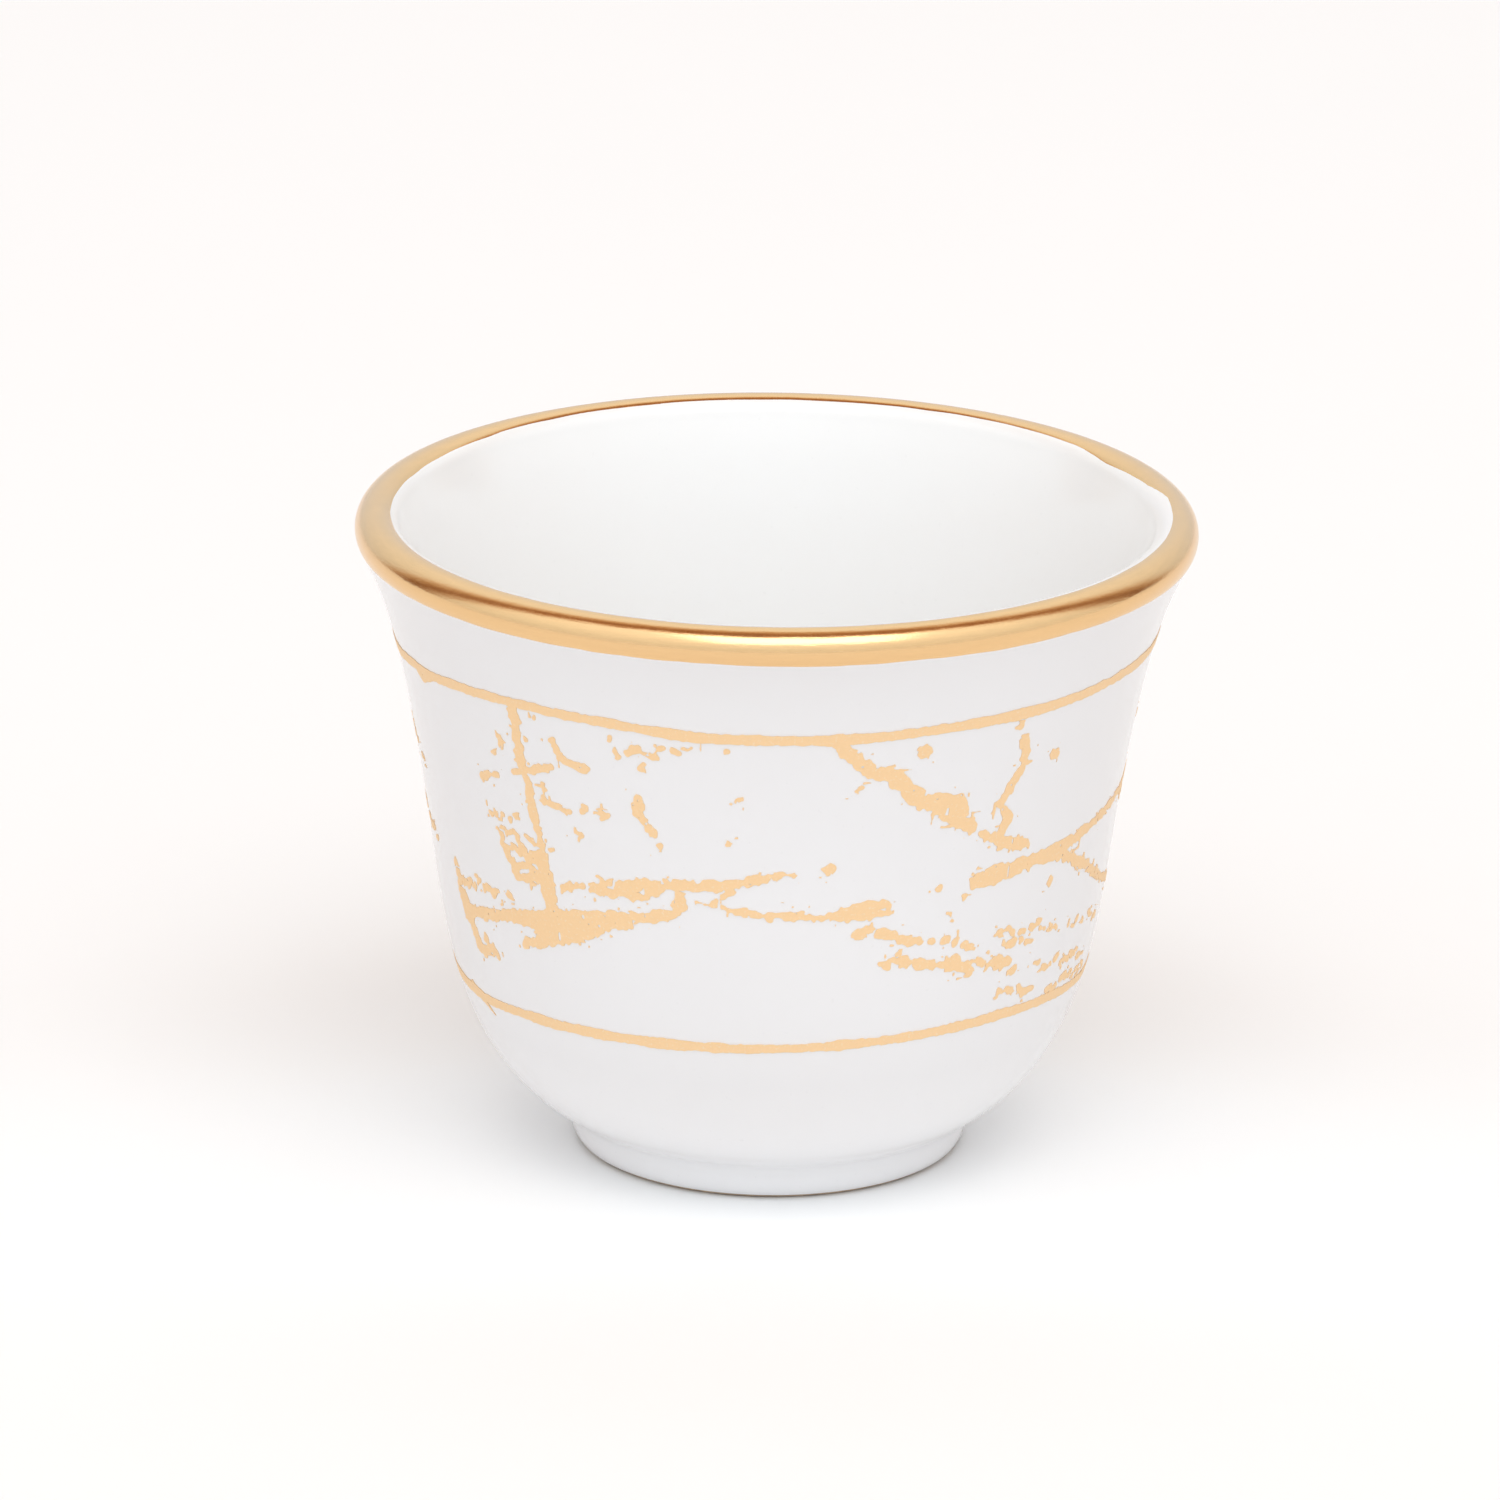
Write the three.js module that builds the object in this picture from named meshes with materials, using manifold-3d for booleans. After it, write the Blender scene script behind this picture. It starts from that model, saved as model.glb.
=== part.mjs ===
// A small handleless porcelain cup with a gilded lip and a gold crackle print between two lines.
// Millimetres, +Z up, origin at the centre of the foot's resting plane.
import * as THREE from "three";
import * as BufferGeometryUtils from "three/addons/utils/BufferGeometryUtils.js";
import Module from "manifold-3d";

const wasm = await Module();
wasm.setup();

// ---- Driving dimensions ----

const MOUTH_RADIUS = 33; // widest radius, over the glaze of the lip
const HEIGHT = 52.4; // resting plane to the glaze on top of the lip
const LIP_ROUND = 1.72; // radius of the rolled lip, half its thickness
const LIP_LEAN = 0.3; // outward lean of the wall where it meets the lip's round

const WAIST_HEIGHT = 28; // where the wall stands most upright
const WAIST_RADIUS = 27.36;
const WAIST_LEAN = 0.14;
const FLARE_PULL = 19.3; // how far the waist's lean carries up the wall
const LIP_PULL = 1.5; // how far the lip's lean carries down the wall
const BELLY_PULL = 9.8; // how far the belly carries outwards from the foot
const SIDE_PULL = 9.2; // how far the waist's lean carries down the wall

const FOOT_RADIUS = 15.8; // outside of the foot ring
const FOOT_WIDTH = 2.9; // thickness of the foot ring near its resting face, glaze included
const FOOT_COVE = 1.6; // radius of the hollow between the foot and the belly
const BELLY_HEIGHT = 3.2; // where the cove runs out into the belly
const BELLY_RISE = 0.5; // slope of the belly there, in radians
const FOOT_EDGE = 0.3; // bevel on both edges of the resting face
const RECESS_DEPTH = 2.4; // how far the underside stands above the resting plane
const RECESS_DRAFT = 0.7; // how far the ring's inner face leans in on its way up

const WALL = 2.7; // thickness of the fired wall at the waist, glaze included
const FLOOR = 3.4; // thickness over the foot, glaze included
const FLOOR_FLAT = 17; // radius over which the inner floor stays nearly level
const INNER_PULL = 18; // how far the inner wall carries down before it turns to the floor

const GLAZE = 0.25; // thickness of each glaze coat
const GILDING = 0.06; // thickness of the fired gold
const PRINT_GAP = 0.02; // clearance between a print mark and the glaze's facets

const GOLD_OUTSIDE_DROP = 2.6; // lip gold's lower edge, below the top of the lip
const GOLD_INSIDE_DROP = 0.4; // lip gold's inner edge, below the top of the lip
const LINE_WIDTH = 0.95;
const UPPER_LINE_DROP = 9.25; // centre of the upper line, below the top of the lip
const LOWER_LINE_HEIGHT = 16.25; // centre of the lower line, above the resting plane

const PRINT_MARGIN = 0.4; // clear space between a print mark and the lines above and below it
const PRINT_TIP = 0.12; // half the width of a mark where it runs out
const PRINT_REPEATS = { front: 0, back: 180 }; // where each repeat of the print faces, in degrees

const FACETS = 40; // sides of every turned piece
const CURVE_STEPS = 6;
const LIP_STEPS = 4;
const COVE_STEPS = 4;

// ---- Materials ----

const finish = (color, roughness, metalness) =>
  new THREE.MeshStandardMaterial({ color, roughness, metalness });
const biscuit = () => finish(0xd8c4ae, 0.8, 0);
const glaze = () => finish(0xf2f1f0, 0.08, 0);
const burnishedGold = () => finish(0xd9a866, 0.25, 1);
const printGold = () => finish(0xe0b070, 0.6, 0.7);

// ---- Curves of the glazed surface, as points (radius, height) ----

const at = (radius, height) => new THREE.Vector2(radius, height);

// The direction of a wall that moves `lean` outwards for each unit that it rises.
const leaning = (lean) => at(lean, 1).normalize();

// Points along a cubic curve that leaves `start` along `out` and reaches `end` along `into`.
function sweep(start, out, outPull, end, into, intoPull, steps) {
  const leave = start.clone().addScaledVector(out, outPull);
  const reach = end.clone().addScaledVector(into, -intoPull);
  return new THREE.CubicBezierCurve(start, leave, reach, end).getPoints(steps);
}

// Points along an arc about `centre`, between two angles from the outward direction.
function arc(centre, radius, from, to, steps) {
  const points = [];
  for (let i = 0; i <= steps; i++) {
    const angle = from + ((to - from) * i) / steps;
    points.push(at(centre.x + radius * Math.cos(angle), centre.y + radius * Math.sin(angle)));
  }
  return points;
}

// Joins runs of points end to end, keeping a shared end point once.
function chain(...runs) {
  const points = [];
  for (const point of runs.flat()) {
    const last = points.at(-1);
    if (!last || last.distanceTo(point) > 1e-4) points.push(point);
  }
  return points;
}

// Adds a point where the line first crosses the given height, so that a layer can end there.
function withStation(line, height) {
  if (line.some((p) => Math.abs(p.y - height) < 1e-6)) return line;
  const after = line.findIndex((p, i) => i > 0 && (line[i - 1].y - height) * (p.y - height) < 0);
  const before = line[after - 1];
  const share = (height - before.y) / (line[after].y - before.y);
  const station = before.clone().lerp(line[after], share);
  return [...line.slice(0, after), station, ...line.slice(after)];
}

// The stretch of a line between two of its points' heights, ends included.
function between(line, low, high) {
  return line.filter((p) => p.y > low - 1e-6 && p.y < high + 1e-6);
}

// The same line moved sideways, to the right of its direction when `distance` is positive.
function beside(line, distance) {
  return line.map((point, i) => {
    const before = line[Math.max(i - 1, 0)];
    const after = line[Math.min(i + 1, line.length - 1)];
    const along = after.clone().sub(before).normalize();
    return at(point.x + along.y * distance, point.y - along.x * distance);
  });
}

// ---- The cup's section ----

const lipCentre = at(MOUTH_RADIUS - LIP_ROUND, HEIGHT - LIP_ROUND);
const lean = Math.atan(LIP_LEAN);

const coveCentre = at(FOOT_RADIUS + FOOT_COVE, BELLY_HEIGHT - FOOT_COVE * Math.cos(BELLY_RISE));
const cove = arc(coveCentre, FOOT_COVE, Math.PI, Math.PI / 2 + BELLY_RISE, COVE_STEPS);
const bellyStart = cove.at(-1);
const waist = at(WAIST_RADIUS, WAIST_HEIGHT);
const outerLip = arc(lipCentre, LIP_ROUND, -lean, Math.PI / 2, LIP_STEPS);
const innerLip = arc(lipCentre, LIP_ROUND, Math.PI / 2, Math.PI - lean, LIP_STEPS);

const bellyWay = at(Math.cos(BELLY_RISE), Math.sin(BELLY_RISE));
const belly = sweep(
  bellyStart, bellyWay, BELLY_PULL, waist, leaning(WAIST_LEAN), SIDE_PULL, CURVE_STEPS + 2);
const flare = sweep(
  waist, leaning(WAIST_LEAN), FLARE_PULL, outerLip[0], leaning(LIP_LEAN), LIP_PULL, CURVE_STEPS);

const innerWaist = at(WAIST_RADIUS - WALL, WAIST_HEIGHT);
const floorCentre = at(0, RECESS_DEPTH + FLOOR);
const innerFlare = sweep(
  innerLip.at(-1), leaning(LIP_LEAN).negate(), LIP_PULL,
  innerWaist, leaning(WAIST_LEAN).negate(), FLARE_PULL, CURVE_STEPS - 1);
const innerBelly = sweep(
  innerWaist, leaning(WAIST_LEAN).negate(), INNER_PULL,
  floorCentre, at(-1, 0), FLOOR_FLAT, CURVE_STEPS);

// Heights at which a gold layer starts or stops on the outside.
const rimGoldFoot = HEIGHT - GOLD_OUTSIDE_DROP;
const rimGoldInside = HEIGHT - GOLD_INSIDE_DROP;
const lineEdges = (centre) => [centre - LINE_WIDTH / 2, centre + LINE_WIDTH / 2];
const lowerLine = lineEdges(LOWER_LINE_HEIGHT);
const upperLine = lineEdges(HEIGHT - UPPER_LINE_DROP);

// The outer skin runs from the foot's bare edge up to the crest, the inner one from there down.
const bareEdge = at(FOOT_RADIUS, FOOT_EDGE);
const outerSkin = [...lowerLine, ...upperLine, rimGoldFoot].reduce(
  withStation, chain([bareEdge], cove, belly, flare, outerLip));
const innerSkin = withStation(chain(innerLip, innerFlare, innerBelly), rimGoldInside);
const footInside = FOOT_RADIUS - FOOT_WIDTH;
const recessTop = footInside - RECESS_DRAFT;
const underSkin = [
  at(0, RECESS_DEPTH),
  at(recessTop, RECESS_DEPTH),
  at(footInside, FOOT_EDGE),
];

// The fired clay lies one coat of glaze behind each skin. At the axis and the crest the coat's
// back is squared off, so that neighbouring layers share their ends.
const outerBack = beside(outerSkin, -GLAZE);
outerBack[0].set(FOOT_RADIUS - GLAZE, FOOT_EDGE);
outerBack.at(-1).set(lipCentre.x, HEIGHT - GLAZE);
const innerBack = beside(innerSkin, -GLAZE);
innerBack[0].set(lipCentre.x, HEIGHT - GLAZE);
innerBack.at(-1).set(0, floorCentre.y - GLAZE);
const underBack = [
  at(0, RECESS_DEPTH + GLAZE),
  at(recessTop + GLAZE, RECESS_DEPTH + GLAZE),
  at(footInside + GLAZE, FOOT_EDGE),
];

// ---- Builders ----

// A turned solid from a loop of points. A loop with a side on the axis opens there.
function turned(loop) {
  const split = loop.findIndex((p, i) => p.x === 0 && loop.at(i - 1).x === 0);
  const open = [...loop.slice(split), ...loop.slice(0, split)];
  const profile = split < 0 ? [...loop, loop[0]] : open;
  return new THREE.LatheGeometry(profile, FACETS).rotateX(Math.PI / 2);
}

// The coat between a skin and the line behind it.
const coat = (skin, back) => turned([...skin, ...back.toReversed()]);

const named = (name, geometry, material) => {
  const mesh = new THREE.Mesh(geometry, material);
  mesh.name = name;
  return mesh;
};

function toSolid(geometry) {
  const bare = geometry.clone();
  for (const attribute of ["normal", "uv"]) bare.deleteAttribute(attribute);
  const merged = BufferGeometryUtils.mergeVertices(bare, 1e-5);
  const mesh = new wasm.Mesh({
    numProp: 3,
    vertProperties: merged.attributes.position.array,
    triVerts: Uint32Array.from(merged.index.array),
  });
  mesh.merge();
  return new wasm.Manifold(mesh);
}

function toGeometry(solid) {
  const mesh = solid.getMesh();
  const geometry = new THREE.BufferGeometry();
  geometry.setAttribute("position", new THREE.BufferAttribute(mesh.vertProperties, 3));
  geometry.setIndex(new THREE.BufferAttribute(mesh.triVerts, 1));
  geometry.computeVertexNormals();
  return geometry;
}

// ---- Pieces ----

const cup = new THREE.Group();

// The foot ring joins the bowl at the level of the recess, across the cove.
const joint = RECESS_DEPTH + GLAZE;
const footBack = withStation(outerBack, joint);
const footSide = between(footBack, 0, joint);
const bowlSide = footBack.slice(footSide.length - 1);
const footRing = turned([
  at(footInside + FOOT_EDGE + GLAZE, 0),
  at(FOOT_RADIUS - FOOT_EDGE - GLAZE, 0),
  ...footSide,
  underBack[1],
  underBack[2],
]);
cup.add(named("foot_ring", footRing, biscuit()));
const bowl = turned([underBack[0], underBack[1], ...bowlSide, ...innerBack.slice(1)]);
cup.add(named("bowl", bowl, biscuit()));

cup.add(named("outer_glaze", coat(outerSkin, outerBack), glaze()));
cup.add(named("inner_glaze", coat(innerSkin, innerBack), glaze()));
cup.add(named("recess_glaze", coat(underSkin, underBack), glaze()));

// Gold laid on the skin between two heights.
function goldOn(skin, low, high) {
  const under = between(skin, low, high);
  return coat(beside(under, GILDING), under);
}
const overLip = chain(
  between(outerSkin, rimGoldFoot, HEIGHT), between(innerSkin, rimGoldInside, HEIGHT));
cup.add(named("lip_gilding", coat(beside(overLip, GILDING), overLip), burnishedGold()));
cup.add(named("upper_gold_line", goldOn(outerSkin, ...upperLine), printGold()));
cup.add(named("lower_gold_line", goldOn(outerSkin, ...lowerLine), printGold()));

// ---- The gold print ----

// Each mark is one or more strokes, and a stroke is a row of places: [angle from the front in
// degrees, height as a share of the printed zone, half width in mm]. Its two ends run out thin.
const PRINT = {
  left_crackle: [
    [[-42, 1], [-42, 0.87, 0.45], [-41, 0.76, 0.6], [-40, 0.6, 0.8], [-38, 0.43]],
    [[-53, 0.72], [-45, 0.74, 0.6], [-35, 0.81]],
    [[-50, 0.6], [-44, 0.56, 1.1], [-39, 0.54]],
  ],
  wedge_streak: [[[-65, 0.2], [-52, 0.24, 1.3], [-38, 0.31, 1.4], [-22, 0.38, 0.7], [-14, 0.41]]],
  left_smudge: [[[-65, 0.36], [-58, 0.33, 1.1], [-51, 0.35]]],
  ragged_streak: [[[-31, 0.47], [-24, 0.5, 1], [-15, 0.51, 1.1], [-6, 0.52, 0.6], [4, 0.53]]],
  thin_streak: [[[-8, 0.43], [4, 0.42, 0.4], [13, 0.44, 0.9], [20, 0.42]]],
  comma_mark: [[[-21, 0.82], [-19, 0.74, 0.6], [-19, 0.66]]],
  dash_mark: [[[-25, 0.92], [-18, 0.94, 0.4], [-11, 0.93]]],
  diagonal_streak: [[[9, 0.95], [16, 0.88, 0.6], [24, 0.79, 1], [29, 0.72, 1.3], [33, 0.65]]],
  right_streak: [[[40, 0.95], [39, 0.86, 0.5], [38.5, 0.76, 0.4], [39.5, 0.66]]],
  right_fork: [
    [[36, 0.6], [46, 0.53, 1.1], [58, 0.43, 0.7], [76, 0.28]],
    [[34, 0.47], [46, 0.52, 1], [57, 0.6, 0.6], [73, 0.62]],
  ],
  low_fleck: [[[14, 0.33], [18, 0.34, 0.5], [23, 0.32]]],
  middle_fleck: [[[28, 0.3], [33, 0.29, 0.5], [38, 0.27]]],
  far_fleck: [[[46, 0.25], [52, 0.24, 0.5], [58, 0.2]]],
};

const zoneFloor = lowerLine[1] + PRINT_MARGIN;
const zoneTop = upperLine[0] - PRINT_MARGIN;
const printSkin = [zoneFloor, zoneTop].reduce(withStation, outerSkin);
const zone = between(printSkin, zoneFloor, zoneTop);
const printSheet = toSolid(coat(beside(zone, PRINT_GAP + GILDING), beside(zone, PRINT_GAP)));

const { degToRad, lerp } = THREE.MathUtils;

// A stroke's outline on the wall, unrolled flat at the waist's radius.
function outlineOf(stroke) {
  const middle = stroke.map(([angle, share]) =>
    at(degToRad(angle) * WAIST_RADIUS, lerp(zoneFloor, zoneTop, share)));
  const side = (sign) => middle.map((point, i) => {
    const [before, after] = [middle[i - 1] ?? point, middle[i + 1] ?? point];
    const across = at(after.y - before.y, before.x - after.x).normalize();
    return point.clone().addScaledVector(across, sign * (stroke[i][2] ?? PRINT_TIP));
  });
  return new THREE.Shape([...side(1), ...side(-1).toReversed()]);
}

// The wedge of space behind and in front of a stroke as seen from the axis.
function wedgeOf(stroke, facing) {
  const depth = MOUTH_RADIUS;
  const wedge = new THREE.ExtrudeGeometry(outlineOf(stroke), { depth, bevelEnabled: false });
  const place = wedge.attributes.position;
  for (let i = 0; i < place.count; i++) {
    const angle = place.getX(i) / WAIST_RADIUS + degToRad(facing);
    const radius = WAIST_RADIUS / 2 + place.getZ(i);
    place.setXYZ(i, radius * Math.sin(angle), -radius * Math.cos(angle), place.getY(i));
  }
  return toSolid(wedge);
}

for (const [side, facing] of Object.entries(PRINT_REPEATS)) {
  for (const [mark, strokes] of Object.entries(PRINT)) {
    const reach = strokes.map((stroke) => wedgeOf(stroke, facing)).reduce((a, b) => a.add(b));
    cup.add(named(`${side}_${mark}`, toGeometry(printSheet.intersect(reach)), printGold()));
  }
}

export default cup;
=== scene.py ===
"""A small handleless porcelain cup: glazed bowl on a bare foot ring, gilded lip, and a gold
crackle print between two fine gold lines. Metres, +Z up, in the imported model's frame."""
import math

import bmesh
import bpy
import numpy as np
from bpy.props import FloatProperty, FloatVectorProperty, IntProperty, PointerProperty
from mathutils import Matrix, Vector


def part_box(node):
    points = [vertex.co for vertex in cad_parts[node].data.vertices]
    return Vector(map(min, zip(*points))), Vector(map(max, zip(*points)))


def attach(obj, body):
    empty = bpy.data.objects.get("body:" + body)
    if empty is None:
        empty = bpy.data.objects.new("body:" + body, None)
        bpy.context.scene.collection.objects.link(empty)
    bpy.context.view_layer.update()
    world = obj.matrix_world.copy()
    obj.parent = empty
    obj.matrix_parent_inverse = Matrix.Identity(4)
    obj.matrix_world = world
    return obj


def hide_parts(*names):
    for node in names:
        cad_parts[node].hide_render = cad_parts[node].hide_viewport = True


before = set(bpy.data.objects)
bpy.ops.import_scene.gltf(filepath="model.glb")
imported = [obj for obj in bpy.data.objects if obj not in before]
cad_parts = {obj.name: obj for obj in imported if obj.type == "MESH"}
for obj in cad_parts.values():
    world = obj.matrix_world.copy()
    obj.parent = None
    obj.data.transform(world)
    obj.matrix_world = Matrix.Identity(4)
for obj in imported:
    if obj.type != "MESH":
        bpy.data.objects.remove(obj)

bl_info = {
    "name": "Handleless Porcelain Cup",
    "version": (1, 0, 0),
    "blender": (4, 5, 0),
    "location": "3D View > Sidebar > Cup",
    "description": "Builds a glazed cup with a gilded lip and a gold crackle print",
    "category": "Add Mesh",
}

MM = 0.001
SAME_PLACE = 1e-8  # points closer than this, in metres, are one
GOLD_SINKS = 1 / 3  # how deep gold sits in the glaze, as a share of the glaze
FRONT_MARKS = [name for name in sorted(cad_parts) if name.startswith("front_")]
BACK_MARKS = [name for name in sorted(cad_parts) if name.startswith("back_")]


def top_of(node):
    """The height of a CAD node's highest point."""
    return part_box(node)[1].z


def foot_of(node):
    """The height of a CAD node's lowest point."""
    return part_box(node)[0].z


def reach_of(node):
    """How far a CAD node reaches from the axis."""
    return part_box(node)[1].x


def middle_of(node):
    """The height of a CAD node's middle."""
    return (top_of(node) + foot_of(node)) / 2


def length(name, description, default):
    """A property that holds a length."""
    return FloatProperty(
        name=name, description=description, default=default, subtype="DISTANCE", unit="LENGTH")


def colour(name, description, default):
    """A property that holds a surface colour, in linear light."""
    return FloatVectorProperty(
        name=name, description=description, default=default, subtype="COLOR", min=0, max=1)


class CupShape(bpy.types.PropertyGroup):
    """Sizes of the turned cup."""

    mouth: length("Mouth radius", "Widest radius, over the lip's glaze", reach_of("outer_glaze"))
    height: length("Height", "Resting plane to the top of the lip", top_of("outer_glaze"))
    lip_round: length("Lip round", "Radius of the rolled lip", 1.72 * MM)
    waist_height: length("Waist height", "Where the wall stands most upright", 28 * MM)
    waist: length("Waist radius", "Radius of the wall at the waist", 27.36 * MM)
    flare_pull: length("Flare pull", "How far the waist's lean carries up", 19.3 * MM)
    lip_pull: length("Lip pull", "How far the lip's lean carries down", 1.5 * MM)
    belly_pull: length("Belly pull", "How far the belly carries outwards", 9.8 * MM)
    side_pull: length("Side pull", "How far the waist's lean carries down", 9.2 * MM)
    foot: length("Foot radius", "Outside of the foot ring", 15.8 * MM)
    foot_width: length("Foot width", "Thickness of the foot ring", 2.9 * MM)
    foot_round: length("Foot round", "How far the foot turns in at its edge", 0.5 * MM)
    foot_edge: length("Foot edge", "Height of the bare edge", foot_of("outer_glaze"))
    cove: length("Cove radius", "Hollow between the foot and the belly", 1.6 * MM)
    belly_height: length("Belly height", "Where the cove runs into the belly", 3.2 * MM)
    recess: length("Recess", "Depth of the recess under the foot", 2.4 * MM)
    recess_draft: length("Recess draft", "Lean of the ring's inner face", 0.7 * MM)
    wall: length("Wall", "Thickness at the waist", 2.7 * MM)
    floor: length("Floor", "Thickness over the foot", 3.4 * MM)
    floor_flat: length("Floor flat", "How far the floor stays level", 17 * MM)
    inner_pull: length("Inner pull", "How far the inner wall carries down", 18 * MM)
    glaze: length("Glaze", "Thickness of a coat of glaze", 0.25 * MM)
    waver: length("Waver", "How far the wall strays from round", 0.05 * MM)
    lip_spread: length("Lip spread", "How much wider the lip is to the sides", 0.28 * MM)
    lip_shift: length("Lip shift", "How far the lip leans to the right", 0.12 * MM)
    around: IntProperty(name="Steps around", description="Steps around the axis", default=256)
    lip_lean: FloatProperty(name="Lip lean", description="Lean below the lip", default=0.3)
    waist_lean: FloatProperty(name="Waist lean", description="Lean at the waist", default=0.14)
    belly_rise: FloatProperty(
        name="Belly rise", description="Slope of the belly at the foot", default=0.5,
        subtype="ANGLE", unit="ROTATION")


class CupGold(bpy.types.PropertyGroup):
    """Sizes of the gilding and the print."""

    thickness: length("Gold thickness", "Thickness of the gold", 0.06 * MM)
    rim_foot: length("Rim foot", "Lower edge of the lip's gold", foot_of("lip_gilding"))
    line_width: length("Line width", "Width of both gold lines", 0.95 * MM)
    upper_line: length("Upper line", "Height of the upper line", middle_of("upper_gold_line"))
    lower_line: length("Lower line", "Height of the lower line", middle_of("lower_gold_line"))
    cell: length("Print cell", "Spacing of the print's grid", 0.11 * MM)


class CupColours(bpy.types.PropertyGroup):
    """Colours of the cup's finishes."""

    # Painted shade: the outer glaze is set darker than the inner glaze, though both are one white
    # glaze, in place of the shade on the outside of the cup.
    glaze: colour("Outer glaze", "White glaze outside", (0.775, 0.768, 0.775))
    lining: colour("Inner glaze", "White glaze inside", (0.90, 0.905, 0.90))
    clay: colour("Clay", "Bare fired clay", (0.52, 0.39, 0.28))
    rim: colour("Lip gold", "Burnished gold of the lip", (0.85, 0.565, 0.285))
    transfer: colour("Print gold", "Matte gold of the print", (0.87, 0.61, 0.345))


# ---- Section of the cup: lines of points (radius, height) ----


def way(lean):
    """The direction of a wall that moves `lean` outwards for each unit that it rises."""
    return np.array([lean, 1.0]) / math.hypot(lean, 1)


def sweep(start, out, out_pull, end, into, into_pull, steps):
    """Points on a cubic curve that leaves start along out and reaches end along into."""
    t = np.linspace(0, 1, steps + 1)[:, None]
    rest = 1 - t
    leave, reach = start + out * out_pull, end - into * into_pull
    return rest**3 * start + 3 * rest**2 * t * leave + 3 * rest * t**2 * reach + t**3 * end


def arc(centre, radius, first, last, steps):
    """Points on an arc, between two angles from the outward direction."""
    angle = np.linspace(first, last, steps + 1)
    return centre + radius * np.stack([np.cos(angle), np.sin(angle)], 1)


def chain(*runs):
    """Runs of points joined end to end, each shared end kept once."""
    line = np.concatenate(runs)
    step = np.linalg.norm(np.diff(line, axis=0), axis=1)
    return line[np.concatenate([[True], step > SAME_PLACE])]


def sides(line):
    """The unit directions to the right of a line at each of its points."""
    along = np.gradient(line, axis=0)
    along /= np.linalg.norm(along, axis=1)[:, None]
    return np.stack([along[:, 1], -along[:, 0]], 1)


def beside(line, distance):
    """The line moved to the right of its own direction."""
    return line + sides(line) * distance


class Section:
    """The glazed surface in section: outside, inside and under the foot."""

    def __init__(self, cup):
        lip = np.array([cup.mouth - cup.lip_round, cup.height - cup.lip_round])
        lean = math.atan(cup.lip_lean)
        outer_lip = arc(lip, cup.lip_round, -lean, math.pi / 2, steps=14)
        inner_lip = arc(lip, cup.lip_round, math.pi / 2, math.pi - lean, steps=12)
        cove_drop = cup.cove * math.cos(cup.belly_rise)
        cove_centre = np.array([cup.foot + cup.cove, cup.belly_height - cove_drop])
        cove = arc(cove_centre, cup.cove, math.pi, math.pi / 2 + cup.belly_rise, steps=10)
        outwards = np.array([1.0, 0])
        at_waist, at_lip = way(cup.waist_lean), way(cup.lip_lean)
        waist = np.array([cup.waist, cup.waist_height])
        belly_way = np.array([math.cos(cup.belly_rise), math.sin(cup.belly_rise)])
        belly = sweep(cove[-1], belly_way, cup.belly_pull, waist, at_waist, cup.side_pull, steps=30)
        flare = sweep(
            waist, at_waist, cup.flare_pull, outer_lip[0], at_lip, cup.lip_pull, steps=28)
        inner_waist = waist - (cup.wall, 0)
        inner_flare = sweep(
            inner_lip[-1], -at_lip, cup.lip_pull, inner_waist, -at_waist, cup.flare_pull, steps=24)
        floor = np.array([0, cup.recess + cup.floor])
        inner_belly = sweep(
            inner_waist, -at_waist, cup.inner_pull, floor, -outwards, cup.floor_flat, steps=34)
        bare_edge = np.array([cup.foot - cup.foot_round, cup.foot_edge])
        upright, heel_lean = way(0), way(0.9)
        heel = sweep(
            bare_edge, heel_lean, cup.foot_round, cove[0], upright, cup.foot_round, steps=8)
        self.outer = chain(heel, cove, belly, flare, outer_lip)
        self.inner = chain(inner_lip, inner_flare, inner_belly)
        self.inner[-1, 0] = 0
        inside = cup.foot - cup.foot_width
        corner = np.array([inside - cup.recess_draft, cup.recess])
        rim = np.array([inside, cup.foot_edge])
        down = (rim - corner) / np.linalg.norm(rim - corner)
        roof_edge = corner - (cup.recess_draft, 0)
        below_corner = corner + (rim - corner) * 0.4
        pull = cup.recess_draft / 2
        self.under = chain(
            np.linspace((0, cup.recess), roof_edge, 8),
            sweep(roof_edge, outwards, pull, below_corner, down, pull, steps=8),
            np.array([rim]))

    def radius_at(self, height):
        """The outside radius at each of some heights."""
        return np.interp(height, self.outer[:, 1], self.outer[:, 0])


# ---- Meshes ----


def fired(points, cup):
    """Moves points as the kiln moves a turned cup: slightly out of round towards the mouth, and
    wider from side to side at the lip."""
    angle = np.arctan2(points[:, 0], -points[:, 1])
    up = np.clip(points[:, 2] / cup.height, 0, 1)
    stray = cup.waver * up**2 * (np.sin(2 * angle + 0.6) + 0.6 * np.sin(3 * angle + 2.0))
    stray += up**6 * (cup.lip_spread * np.sin(angle) ** 2 + cup.lip_shift * np.sin(angle))
    moved = points.copy()
    moved[:, :2] *= 1 + stray[:, None] / cup.mouth
    return moved


def placed(radius, height, angle):
    """Points at a radius, a height and an angle from the front, towards +X."""
    radius, height, angle = np.broadcast_arrays(radius, height, angle)
    return np.stack([radius * np.sin(angle), -radius * np.cos(angle), height], -1).reshape(-1, 3)


def add_piece(name, points, faces, finish, slot, *nodes):
    """Links a mesh to the scene and hands it to the frame in place of some CAD nodes."""
    mesh = bpy.data.meshes.new(name)
    mesh.from_pydata(np.asarray(points).tolist(), [], faces)
    mesh.validate()
    mesh.shade_smooth()
    sharpest_smooth = math.radians(42)
    mesh.set_sharp_from_angle(angle=sharpest_smooth)
    mesh.materials.append(finish)
    piece = bpy.data.objects.new(name, mesh)
    bpy.context.scene.collection.objects.link(piece)
    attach(piece, "root")
    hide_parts(*nodes)
    return piece


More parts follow.
